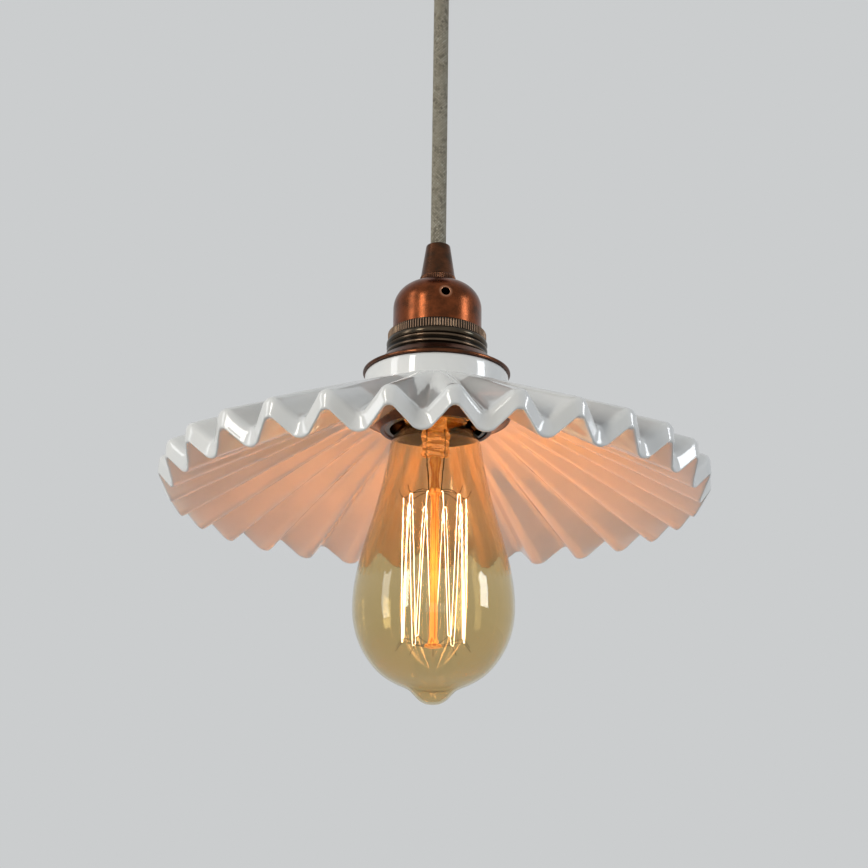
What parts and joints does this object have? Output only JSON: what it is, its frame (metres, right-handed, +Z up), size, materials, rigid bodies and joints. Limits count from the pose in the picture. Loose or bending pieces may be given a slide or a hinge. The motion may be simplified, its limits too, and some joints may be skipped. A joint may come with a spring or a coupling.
{
  "type": "pendant light",
  "caption": "Pendant light with a shallow pleated porcelain shade and a clear filament bulb on a copper lampholder, hung by a woven cord from a copper ceiling cup.",
  "frame": {"origin": "the middle of the ceiling rose, in the plane of the ceiling, halfway between the two screws", "axes": "+Z up, out of the rose into the ceiling, along the axis of the lamp; +X along the mounting bar, to the picture's right; -Y towards the picture's viewer"},
  "size_m": [0.2188, 0.2186, 0.3657],
  "materials": {
    "antique_copper": "copper, spun and brushed, with a dark antique patina",
    "dark_copper": "copper, knurled or turned, darkened in the grooves",
    "zinc_steel": "zinc plated",
    "bare_brass": "turned or pressed",
    "cord_sheath": "woven linen and cotton sheath",
    "brown_insulation": "satin",
    "blue_insulation": "satin",
    "nylon": "moulded",
    "terminal_plastic": "moulded",
    "porcelain_glaze": "white, clear glazed",
    "core_porcelain": "white, unglazed",
    "amber_glass": "clear, with a pale amber tint",
    "stem_glass": "clear",
    "cap_brass": "pressed and nickel bright",
    "black_glass": "black fused insulator",
    "solder": "dull solder",
    "support_metal": "drawn wire",
    "filament_metal": "glowing wire"
  },
  "bodies": {
    "ceiling_rose": {"ceiling_cup": "antique_copper", "mounting_bar": "zinc_steel", "ceiling_nipple": "zinc_steel", "upper_lock_nut": "zinc_steel", "lower_lock_nut": "zinc_steel", "ceiling_cord_grip": "dark_copper", "ceiling_grip_collet": "nylon", "ceiling_cord_tail": "cord_sheath", "terminal_block": "terminal_plastic", "block_live_screw": "bare_brass", "block_neutral_screw": "bare_brass", "ceiling_live_wire": "brown_insulation", "ceiling_neutral_wire": "blue_insulation"},
    "hanging_cord": {"cord": "cord_sheath"},
    "lamp": {"lamp_cord_grip": "dark_copper", "lamp_grip_collet": "nylon", "lamp_cord_tail": "cord_sheath", "lamp_nipple": "zinc_steel", "lamp_lock_nut": "zinc_steel", "holder_dome": "antique_copper", "holder_skirt": "dark_copper", "ceramic_core": "core_porcelain", "socket_shell": "bare_brass", "centre_contact": "bare_brass", "live_terminal_post": "bare_brass", "neutral_terminal_post": "bare_brass", "live_post_screw": "bare_brass", "neutral_post_screw": "bare_brass", "lamp_live_wire": "brown_insulation", "lamp_neutral_wire": "blue_insulation", "upper_shade_ring": "antique_copper", "lower_shade_ring": "antique_copper", "porcelain_shade": "porcelain_glaze"},
    "bulb_slider": {"bulb_tip_contact": "solder"},
    "bulb": {"bulb_cap": "cap_brass", "cap_insulator": "black_glass", "bulb_glass": "amber_glass", "glass_stem": "stem_glass", "centre_rod": "stem_glass", "lead_wires": "support_metal", "support_hooks": "support_metal", "filament": "filament_metal"}
  },
  "joints": [
    {"name": "pendant_swing", "type": "hinge", "parent": "ceiling_rose", "child": "hanging_cord", "pos_m": [0, 0, -0.0477], "axis": [0, 1, 0], "range_deg": [-20, 20]},
    {"name": "lamp_tilt", "type": "hinge", "parent": "hanging_cord", "child": "lamp", "pos_m": [0, 0, -0.1733], "axis": [1, 0, 0], "range_deg": [-15, 15]},
    {"name": "bulb_travel", "type": "slide", "parent": "lamp", "child": "bulb_slider", "axis": [0, 0, -1], "range_m": [0, 0.01815]},
    {"name": "bulb_turn", "type": "hinge", "parent": "bulb_slider", "child": "bulb", "pos_m": [0, 0, -0.25], "axis": [0, 0, -1], "range_deg": [0, 1800]}
  ],
  "couplings": [
    {"joint": "bulb_travel", "follows": "bulb_turn", "m_per_rad": 0.00057758}
  ]
}
